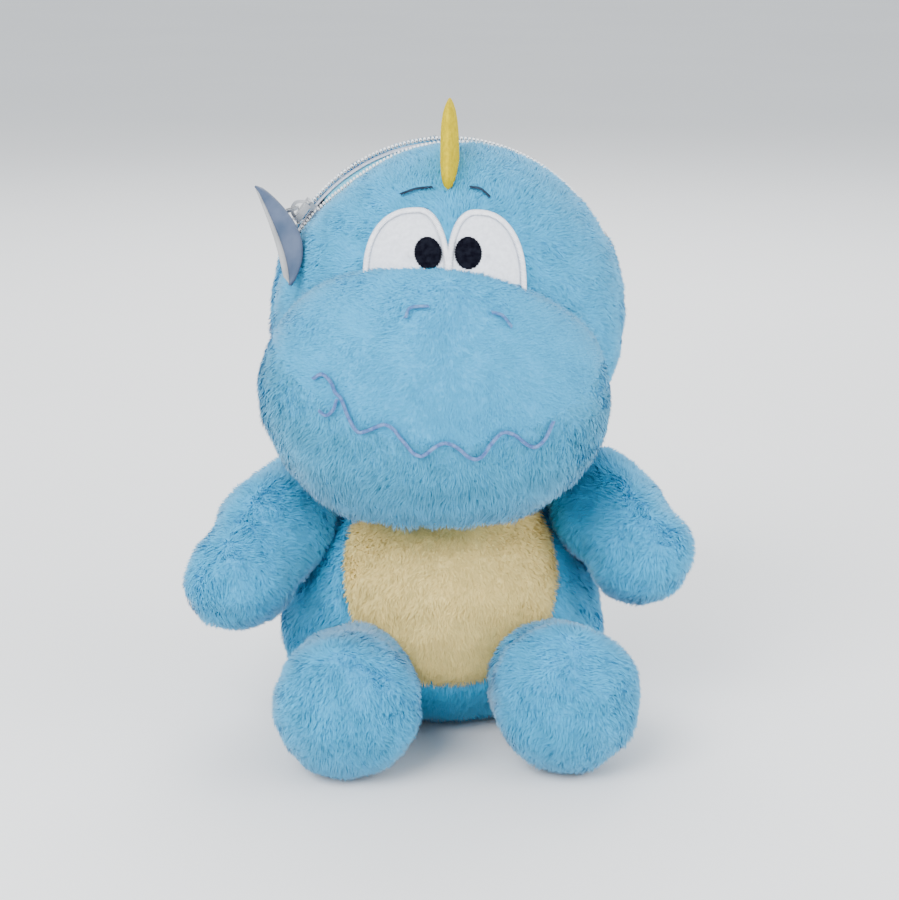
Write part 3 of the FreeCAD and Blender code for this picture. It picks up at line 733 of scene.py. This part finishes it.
def pupil(name, centre, stands_for):
    """A solid satin-stitched disc: rows of thread with a rounded edge."""
    rows = np.arange(-PUPIL_R[1] + 0.15, PUPIL_R[1], 0.34)
    across = np.linspace(-1, 1, 12)
    points, faces = [], []
    for number, row in enumerate(rows):
        half = PUPIL_R[0] * math.sqrt(max(0.0, 1 - (row / PUPIL_R[1]) ** 2)) + (0.12 if number % 2 else -0.1)
        line = np.stack([centre[0] + half * across, np.full(len(across), centre[1] + row)], axis=1)
        fall = (1 - across ** 2 * 0.999) ** 0.4 * (1 - (row / PUPIL_R[1]) ** 2 * 0.9) ** 0.4
        p, n = on_front(line, skull_field, 1.35)
        p = p + n * (0.95 * fall)[:, None]
        up = unit(np.cross(n, np.array([1.0, 0, 0])))
        up = up * np.sign(up[:, 2])[:, None]
        faces.extend(sleeve_faces(len(across), THREAD_SIDES, len(points)))
        for k in range(len(across)):
            for angle in np.linspace(0, 2 * math.pi, THREAD_SIDES, endpoint=False):
                points.append(p[k] + up[k] * (0.24 * math.cos(angle)) + n[k] * (0.3 * math.sin(angle) - 0.1))
    made = mesh_object(name, points, faces, [BLACK_SATIN])
    return finish_piece(made, "head", stands_for)


pupil("pupil_left", PUPILS[0], ["pupils"])
pupil("pupil_right", PUPILS[1], [])


def face_line(name, line, lift, width, thick, material, stands_for=()):
    """An embroidered line on the head's front, kept in FACE_LINES for the pile to part round."""
    path, normal = on_front(smooth_path(line, 0.36), head_field, lift)
    FACE_LINES.append(path)
    return satin(name, path, normal, width, 0.36, thick, material, "head", stands_for, slant=0.5)


face_line("brow_left", BROWS[0], 1.5, 1.15, 0.5, DARK_THREAD, ["eyebrow_stitching"])
face_line("brow_right", BROWS[1], 1.5, 1.15, 0.5, DARK_THREAD)
face_line("nostril_left", NOSTRILS[0], 1.5, 1.3, 0.5, SILVER_THREAD, ["nostril_stitching"])
face_line("nostril_right", NOSTRILS[1], 1.5, 1.3, 0.5, SILVER_THREAD)
face_line("mouth_line", MOUTH, 1.7, 1.4, 0.6, GREY_THREAD, ["mouth_stitching"])
face_line("mouth_curl", MOUTH_CURL, 1.7, 1.3, 0.55, GREY_THREAD)
LINE_POINTS = np.concatenate(FACE_LINES)


def away_from_lines(p, gap, batch=8000):
    """True for points farther than gap from every embroidered line."""
    clear = np.ones(len(p), bool)
    for start in range(0, len(p), batch):
        part = p[start:start + batch]
        near = np.linalg.norm(part[:, None] - LINE_POINTS[None, ::3], axis=2).min(axis=1)
        clear[start:start + batch] = near > gap
    return clear


def inside_loop(p, loop):
    """True for points whose x and z fall inside the outline."""
    x, z = p[:, 0], p[:, 2]
    hit = np.zeros(len(p), bool)
    nxt = np.roll(loop, -1, axis=0)
    for (x1, z1), (x2, z2) in zip(loop, nxt):
        crosses = ((z1 > z) != (z2 > z)) & (x < (x2 - x1) * (z - z1) / (z2 - z1 + 1e-9) + x1)
        hit ^= crosses
    return hit


def clear_of_eyes(p):
    return ~(inside_loop(p, EYE_LOOPS[0]) | inside_loop(p, EYE_LOOPS[1]))


# ---------------------------------------- pile on the head
def comb_down(p):
    """Pile that hangs, spreading a little to the sides."""
    way = np.tile(np.array([0.0, -0.15, -1.0]), (len(p), 1))
    way[:, 0] += 0.008 * (p[:, 0] - HEAD[0])
    return way


def comb_back(p):
    """Pile that is brushed back and down from a point in front of the brow."""
    way = p - np.array([HEAD[0], -60.0, 150.0])
    way[:, 2] -= 20
    return way


def comb_snout(p):
    """Pile that fans out and down from a point in front of the nose."""
    way = p - np.array([MUZZLE[0], -70.0, 128.0])
    way[:, 2] = -np.abs(way[:, 2]) - 6
    return way


def chin_length(p):
    """Short beside the mouth line, growing to a deep fluff under the chin."""
    t = np.clip(mouth_gap(p) / 16, 0, 1)
    return 1.7 + 1.7 * t * t * (3 - 2 * t)


strands("forehead_pile", forehead, "head", BLUE_TINTS, 2.3, comb_back, seed=11,
        density=5.0, width=0.30, lean=1.0, keep=lambda p: clear_of_eyes(p) & away_from_lines(p, 0.9))
strands("snout_pile", snout, "head", SNOUT_TINTS, 1.6, comb_snout, seed=12,
        density=6.5, width=0.28, lean=1.1, clump=0.1, rough=0.4, keep=lambda p: away_from_lines(p, 1.15))
strands("chin_pile", chin, "head", CHIN_TINTS, chin_length, comb_down, seed=13,
        density=5.0, width=0.30, lean=0.95, clump=0.3, rough=0.8, keep=lambda p: away_from_lines(p, 1.15))
strands("gusset_left_pile", gusset_left, "head", BLUE_TINTS, 2.6, comb_down, seed=14,
        density=4.4, width=0.32)
strands("gusset_right_pile", gusset_right, "head", BLUE_TINTS, 2.6, comb_down, seed=15,
        density=4.4, width=0.32)
strands("head_back_pile", head_back, "head", CHIN_TINTS, 2.6, comb_down, seed=16,
        density=4.2, width=0.32)


# ---------------------------------------- torso
torso_z = np.concatenate([np.linspace(0.25, 4, 8), np.linspace(4, TORSO_TOP_Z, 92)[1:]])
torso = rings(np.array([0.0, TORSO_MID[1], 0]), np.array([0.0, 0, 1]), np.array([1.0, 0, 0]),
              np.array([0.0, 1, 0]), torso_z, torso_field, 256)


def torso_end(p):
    return p[:, 2] < 0.4


def in_belly(p):
    return (belly_gap(p) < 1) & (p[:, 1] < TORSO_MID[1])


belly = torso.part(in_belly)
torso_front = torso.part(lambda p: (p[:, 1] < TORSO_MID[1]) & ~in_belly(p) & ~torso_end(p))
torso_back = torso.part(lambda p: (p[:, 1] >= TORSO_MID[1]) & ~torso_end(p))
base = torso.part(torso_end)
panel("torso_front_plush", torso_front, BLUE_BACKING, "torso",
      ["torso_front_panel", "torso_stuffing"])
panel("belly_plush", belly, CREAM_BACKING, "torso", ["belly_panel"])
panel("torso_back_plush", torso_back, BLUE_BACKING, "torso", ["torso_back_panel"])
panel("base_plush", base, BLUE_BACKING, "torso", ["base_panel"], thick=0.8)


def above_floor(p):
    return p[:, 2] > FLOOR_CLEAR


strands("torso_front_pile", torso_front, "torso", BLUE_TINTS, 2.8, comb_down, seed=21,
        density=4.2, width=0.32, keep=above_floor)
strands("torso_back_pile", torso_back, "torso", BLUE_TINTS, 2.8, comb_down, seed=22,
        density=4.2, width=0.32, keep=above_floor)
strands("belly_pile", belly, "torso", CREAM_TINTS, 2.2, comb_down, seed=23,
        density=5.5, width=0.28, lean=0.9)


# ---------------------------------------- limbs
def limb(name, body, joint, end, r1, r2, seed, swell, nodes, length=2.7):
    """A stuffed bag from its joint to its end, in two panels, with pile hanging from it."""
    root = mm(JOINTS[joint]["pos_m"])
    axis = unit(end - root)
    across = unit(np.cross(axis, np.array([0.0, 0.0, 1.0])))
    up = np.cross(across, axis)
    field = limb_field(root, end, r1, r2, seed, swell)
    reach = np.linalg.norm(end - root)
    line = np.linspace(-r1 * 1.3, reach + r2 * 1.3, 200)
    inside = line[field(root + np.outer(line, axis)) < 0]
    skin = rings(root, axis, across, up, dome_steps(inside[0] + 0.05, inside[-1] - 0.05, 64), field, 120)

    def on_top(p):
        return (p - root) @ up > 0

    def comb(p):
        return np.tile(-0.5 * axis + np.array([0, 0, -1.0]), (len(p), 1))

    upper, lower = skin.part(on_top), skin.part(lambda p: ~on_top(p))
    first, second = nodes
    panel(name + "_" + first[0], upper, BLUE_BACKING, body, first[1])
    panel(name + "_" + second[0], lower, BLUE_BACKING, body, second[1])
    strands(name + "_pile", skin, body, BLUE_TINTS, length, comb, seed, density=4.6, width=0.32,
            keep=above_floor)


def far_corner(nodes, radius, signs):
    """Centre of the rounded end: the box corner on these sides, moved in by the end's radius."""
    low, high = node_box(*nodes)
    return np.array([low[k] + radius if signs[k] < 0 else high[k] - radius for k in range(3)])


ARM_R, HAND_R, HIP_R, FOOT_R, TAIL_R, TIP_R = 13.5, 16.4, 13.0, 22.0, 15.0, 7.0
# The hand's centre lies this far inside the arm's box.
HAND_INSET = 16.2
for side_name, sign in (("left", -1), ("right", 1)):
    panels = [f"arm_{side_name}_front_panel", f"arm_{side_name}_back_panel"]
    limb("arm_" + side_name, "arm_" + side_name, f"arm_{side_name}_raise",
         far_corner(panels, HAND_INSET, (sign, -1, -1)), ARM_R, HAND_R, 31 + sign, 1.6,
         (("upper_plush", [panels[0], f"arm_{side_name}_stuffing"]), ("under_plush", [panels[1]])))
    panels = [f"leg_{side_name}_upper_panel", f"leg_{side_name}_under_panel"]
    limb("leg_" + side_name, "leg_" + side_name, f"leg_{side_name}_lift",
         far_corner(panels, FOOT_R, (sign, -1, -1)), HIP_R, FOOT_R, 36 + sign, 1.0,
         (("upper_plush", [panels[0], f"leg_{side_name}_stuffing"]), ("under_plush", [panels[1]])))
tail_tip = far_corner(["tail_left_panel", "tail_right_panel"], TIP_R, (1, 1, -1))
tail_tip[0] = 0.0
limb("tail", "tail", "tail_swing", tail_tip, TAIL_R, TIP_R, 41, 0.6,
     (("upper_plush", ["tail_left_panel", "tail_stuffing"]), ("under_plush", ["tail_right_panel"])))


# ---------------------------------------- felt fins
def fin_place(node, yaw=0.0, shift=0.0):
    """Puts a fin's (y, z, thickness) shape upright in the middle plane of its CAD node."""
    low, high = node_box(node)
    middle = (low[0] + high[0]) / 2 + shift

    def place(p):
        turn = (p[:, 0] - low[1]) * yaw
        return np.stack([middle + turn + p[:, 2], p[:, 0], p[:, 1]], axis=1)
    return place


def fin(name, node, body, thick, points, yaw=0.0, shift=0.0):
    """points are (along, up) as shares of the CAD node's box."""
    low, high = node_box(node)
    size = high - low
    outline = [(low[1] + a * size[1], low[2] + u * size[2]) for a, u in points]
    pillow(name, outline, thick, fin_place(node, yaw, shift), FELT, body, [node])


CREST = ((0.10, 0.25), (0.11, 0.5), (0.16, 0.78), (0.22, 0.98), (0.4, 1.02), (0.6, 1.0), (0.76, 0.8),
         (0.9, 0.42), (0.99, 0.1), (0.75, 0.02), (0.5, 0.04), (0.25, 0.1))
HALF_MOON = ((0.02, 0.02), (0.55, 0.2), (0.9, 0.42), (0.99, 0.6), (0.8, 0.85), (0.4, 0.97), (0.05, 0.99),
             (0.02, 0.5))
fin("crest_fin_felt", "crest_fin", "head", 5.4, CREST, yaw=0.14, shift=-2.2)
fin("nape_fin_felt", "nape_fin", "head", 5.2, HALF_MOON)
fin("back_fin_upper_felt", "back_fin_upper", "torso", 5.2, HALF_MOON)
fin("back_fin_lower_felt", "back_fin_lower", "torso", 5.2, HALF_MOON)
fin("tail_fin_felt", "tail_fin", "tail", 4.6, CREST)


# ---------------------------------------- zip and pouch
def half_gap(angle):
    """Half the open zip's width at an angle along its arc."""
    steps = np.array(HALF_GAP, float)
    return np.interp(np.abs(COIL_R * np.sin(np.radians(angle))), steps[:, 0], steps[:, 1])


def arc_point(angle, radius, y):
    """Points on an arc round the head's middle, angles in degrees from the top."""
    a = np.radians(angle)
    return np.stack([HEAD[0] + radius * np.sin(a), y + 0 * a, HEAD[2] + radius * np.cos(a)], axis=-1)


def zip_sink(angle, sign):
    """The front row follows the sagging lip; the rear row stays up."""
    angles = np.atleast_1d(angle)
    sink = lip_dent(arc_point(angles, LIP_R, np.full(len(angles), SLOT_Y[0]))) * 0.72 * (sign < 0)
    return sink if np.ndim(angle) else sink[0]


def finish_zip(made, stands_for):
    """A zip strip replaces its CAD nodes and rides on the head, on a mesh of its own."""
    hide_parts(*stands_for)
    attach(made, "head")
    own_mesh(made)


def zip_row(name, sign, stands_for):
    """A row of coil teeth: each a rounded loop that points at the other row."""
    step = math.degrees(PITCH / COIL_R)
    angles = np.arange(ZIP_SPAN[0], ZIP_SPAN[1], step)
    points, faces = [], []
    # Each tooth's distance from its row's edge, with its radius there.
    profile = ((-0.2, 0.28), (0.2, 0.5), (0.9, 0.55), (1.9, 0.47), (2.7, 0.44), (3.1, 0.2))
    for angle in angles:
        y_edge = ZIP_Y + sign * (half_gap(angle) - 1.4)
        radius = COIL_R - zip_sink(angle, sign)
        faces.extend(sleeve_faces(len(profile), THREAD_SIDES, len(points)))
        centre = arc_point(angle, radius, y_edge)
        outwards = unit(arc_point(angle, 1, 0) - arc_point(angle, 0, 0))
        tangent = np.cross(outwards, np.array([0.0, 1, 0]))
        for far, r in profile:
            for turn in np.linspace(0, 2 * math.pi, THREAD_SIDES, endpoint=False):
                high = outwards * (math.sin(turn) * r * 1.25 + 0.3)
                points.append(centre + np.array([0, sign * far, 0]) + high + tangent * math.cos(turn) * r)
    made = mesh_object(name, points, faces, [NYLON])
    finish_zip(made, stands_for)


def zip_tape(name, sign, stands_for):
    """The woven tape under a row, running on beneath the plush."""
    angles = np.linspace(ZIP_SPAN[0] - 4, ZIP_SPAN[1] + 4, 110)
    offsets = np.array([-0.9, 0.0, 1.2, 2.4, 3.6, 6.0, 9.5])
    points = []
    for off in offsets:
        y = ZIP_Y + sign * (half_gap(angles) + off)
        radius = TAPE_R - zip_sink(angles, sign) - 0.03 * max(0.0, off - 2.4) ** 2 - (0.5 if off > 3 else 0)
        points.extend(arc_point(angles, radius, y))
    made = mesh_object(name, points, grid_faces(len(offsets), len(angles)), [TAPE])
    thicken(made, 0.6, offset=0.0)
    finish_zip(made, stands_for)


zip_row("coil_front_teeth", -1, ["zip_coil_front"])
zip_row("coil_rear_teeth", 1, ["zip_coil_rear"])
zip_tape("tape_front_woven", -1, ["zip_tape_front"])
zip_tape("tape_rear_woven", 1, ["zip_tape_rear"])


def pouch():
    """The lining bag: two walls from the tapes down, lying close together with soft folds."""
    low, high = node_box("pouch_lining")
    angles = np.linspace(ZIP_SPAN[0] + 3, ZIP_SPAN[1] - 3, 60)
    depths = np.array([0.2, 1.0, 2.0, 4.0, 7.0, 12, 20, 32, 48, 66, 86])
    floor_z = low[2] + 1.0
    deepest = HEAD[2] + TAPE_R - floor_z
    points = []
    for sign in (-1, 1):
        for depth in depths:
            apart = half_gap(angles) * math.exp(-((depth / 3.0) ** 2)) + 0.25
            radius = TAPE_R - zip_sink(angles, sign) * math.exp(-depth / 8)
            x = HEAD[0] + radius * np.sin(np.radians(angles))
            rim = HEAD[2] + radius * np.cos(np.radians(angles))
            z = rim - (rim - floor_z) * min(1.0, depth / deepest)
            p = np.stack([x, np.zeros(len(x)), z], axis=1)
            fold = 0.5 * waves(p, 17, 50) * min(1.0, depth / 8)
            p[:, 1] = ZIP_Y + sign * apart + fold
            p[:, 0] = np.clip(p[:, 0], low[0] + 1, high[0] - 1)
            points.extend(p)
    size, rows = len(angles), len(depths)
    faces = grid_faces(rows, size) + grid_faces(rows, size, rows * size)
    for k in range(rows - 1):
        for j in (0, size - 1):
            a, b = k * size + j, (rows + k) * size + j
            faces.append((a, b, b + size, a + size))
    for j in range(size - 1):
        a, b = (rows - 1) * size + j, (2 * rows - 1) * size + j
        faces.append((a, a + 1, b + 1, b))
    made = mesh_object("pouch_lining_bag", points, faces, [LINING])
    thicken(made, 0.4)
    finish_piece(made, "head", ["pouch_lining"])


pouch()


# ---------------------------------------- tag
# The opened card hangs by its top corner; each leaf widens from the fold by the given spread.
TAG_TOP = np.array([-57.5, 3, 169])
TAG_TIP = np.array([-47.5, -26.5, 143.5])
TAG_SAG = np.array([2.5, -2.5, -2.5])
TAG_OUTWARD = np.array([-2.6, 3.6, 3.0])
TAG_INWARD = np.array([5.6, -1.8, 3.4])
TAG_SHARES = np.linspace(0, 1, 30)


def tag_edge(spread, stretch):
    """One long edge of the card: the sagging fold line, moved by a spread that swells and closes."""
    straight = TAG_TOP + (TAG_TIP - TAG_TOP) * TAG_SHARES[:, None]
    line = straight + TAG_SAG * np.sin(math.pi * TAG_SHARES)[:, None]
    swell = np.abs(np.sin(math.pi * stretch * TAG_SHARES)) ** 0.7
    return line + spread * swell[:, None]


TAG_FOLD = tag_edge(np.zeros(3), 1.0)


def leaf(name, first, second, bow, material, stands_for):
    """One leaf of the folded card tag between two edges, bowed like sprung paper."""
    rows, columns = len(first), 8
    outwards = np.array([-0.5, -1.0, 0.3])
    points = []
    for a, b in zip(first, second):
        for s in np.arange(columns) / (columns - 1):
            points.append(a + (b - a) * s + outwards * bow * math.sin(math.pi * s))
    made = mesh_object(name, points, grid_faces(rows, columns), [material])
    thicken(made, 0.4)
    finish_piece(made, "hang_tag", stands_for)


# Painted light: this leaf takes the lit copy of the card's colour.
leaf("tag_leaf_light", tag_edge(TAG_OUTWARD, 0.8), TAG_FOLD, 0.4, CARD_PAINTED_LIT, ["hang_tag"])
# Painted shade: this leaf takes the shaded copy of the card's colour.
leaf("tag_leaf_dark", TAG_FOLD, tag_edge(TAG_INWARD, 1.0), 0.8, CARD_PAINTED_SHADE, [])


# ---------------------------------------- carried-over hardware
def dress(node, material, bevel=0.0):
    """Keeps a CAD piece: its own finish and, for metal, softly broken edges."""
    piece = frame["nodes"][node]
    piece.data.materials.clear()
    piece.data.materials.append(material)
    if bevel:
        edge = piece.modifiers.new("edge", "BEVEL")
        edge.width = bevel * TO_M
        edge.segments = 2
        edge.limit_method = "ANGLE"
    return piece


for node, material, bevel in (("zip_slider", NICKEL, 0.25), ("zip_pull", NICKEL, 0.12),
                              ("key_ring", NICKEL, 0.25), ("zip_bottom_stop", NICKEL, 0.1),
                              ("zip_top_stops", NICKEL, 0.1), ("hang_loop", WEBBING, 0.2),
                              ("tag_fastener", CLEAR, 0.0)):
    dress(node, material, bevel)


# ---------------------------------------- studio
bpy.ops.mesh.primitive_plane_add(size=6, location=(0, 1.5, 0))
floor = bpy.context.object
floor.name = "floor"
PAPER = woven("floor_paper", (0.86, 0.86, 0.86), (0.88, 0.88, 0.88), 3, rough=0.9, bump_by=0.0)
floor.data.materials.append(PAPER)


def area_light(name, place, aim, size, power):
    """A soft square lamp at a place in metres, pointed at its aim."""
    data = bpy.data.lights.new(name, "AREA")
    data.size = size
    data.energy = power
    lamp = bpy.data.objects.new(name, data)
    lamp.location = place
    lamp.rotation_euler = (Vector(aim) - Vector(place)).to_track_quat("-Z", "Y").to_euler()
    bpy.context.scene.collection.objects.link(lamp)


area_light("key", place=(-0.55, -0.75, 0.75), aim=(0, 0, 0.1), size=0.7, power=19.0)
area_light("fill", place=(0.8, -0.6, 0.4), aim=(0, 0, 0.09), size=0.9, power=10.0)
area_light("rim", place=(0.1, 0.8, 0.9), aim=(0, 0, 0.12), size=0.8, power=12.0)
world = bpy.data.worlds.new("studio")
bpy.context.scene.world = world
world.use_nodes = True
world.node_tree.nodes["Background"].inputs["Color"].default_value = (0.9, 0.95, 1.0, 1)
world.node_tree.nodes["Background"].inputs["Strength"].default_value = 1.1

CAMERA_AIM = np.array([2.1, 0.0, 84.4]) * TO_M
CAMERA_TURN, CAMERA_RISE, CAMERA_FAR, LENS = math.radians(-4.0), math.radians(15.0), 0.7, 87.5
camera_data = bpy.data.cameras.new("camera")
camera_data.lens = LENS
camera = bpy.data.objects.new("camera", camera_data)
back_to_eye = Vector((math.sin(CAMERA_TURN) * math.cos(CAMERA_RISE),
                      -math.cos(CAMERA_TURN) * math.cos(CAMERA_RISE), math.sin(CAMERA_RISE)))
camera.location = Vector(CAMERA_AIM) + back_to_eye * CAMERA_FAR
camera.rotation_euler = (-back_to_eye).to_track_quat("-Z", "Y").to_euler()
bpy.context.scene.collection.objects.link(camera)
bpy.context.scene.camera = camera
